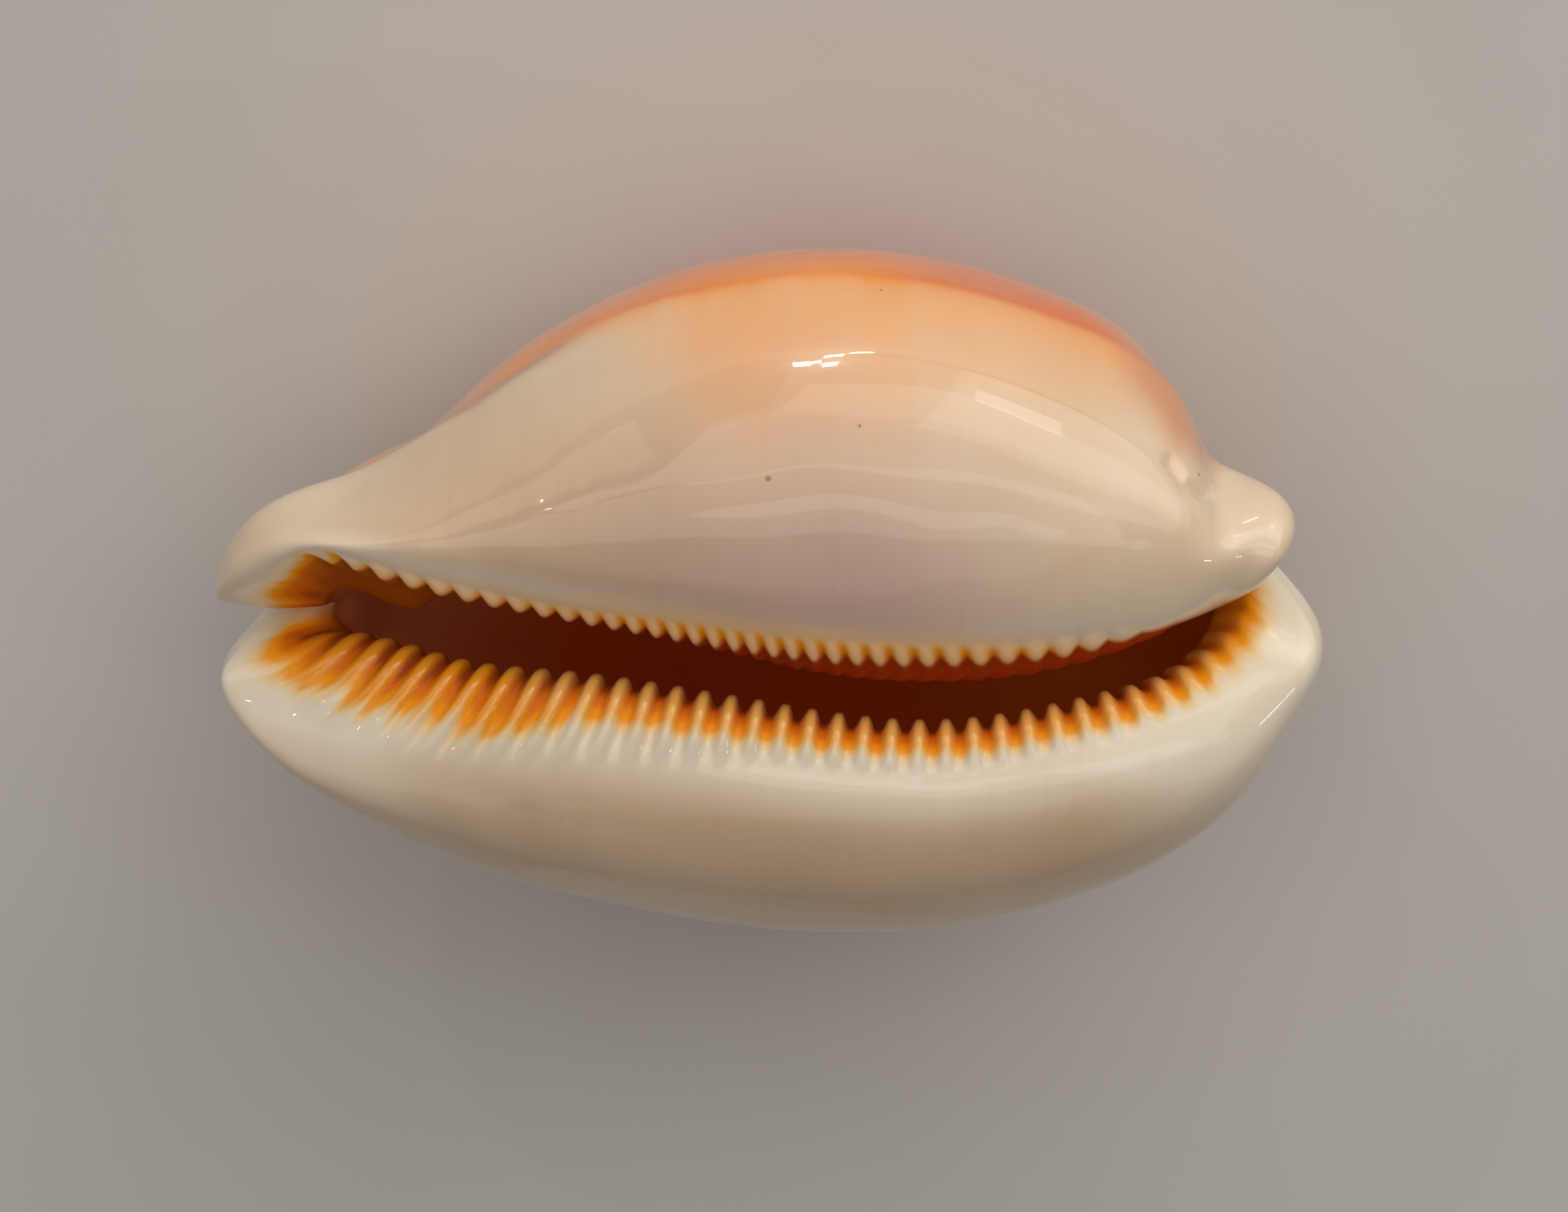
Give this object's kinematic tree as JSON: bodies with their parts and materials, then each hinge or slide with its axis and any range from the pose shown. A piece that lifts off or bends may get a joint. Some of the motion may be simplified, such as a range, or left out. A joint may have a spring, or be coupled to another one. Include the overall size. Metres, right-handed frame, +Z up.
{
  "type": "cowrie shell",
  "caption": "Empty glossy cowrie shell lying on its back, its long toothed mouth facing up.",
  "frame": {"origin": "below the middle of the shell's length and width, on the surface it rests on", "axes": "+X towards the spire end (rear), +Y towards the inner (columellar) lip, +Z up out of the mouth"},
  "size_m": [0.095, 0.0596, 0.0492],
  "materials": {
    "polished_shell": "naturally polished shell, glossy"
  },
  "bodies": {
    "root": {"cowrie_shell": "polished_shell"}
  },
  "joints": []
}
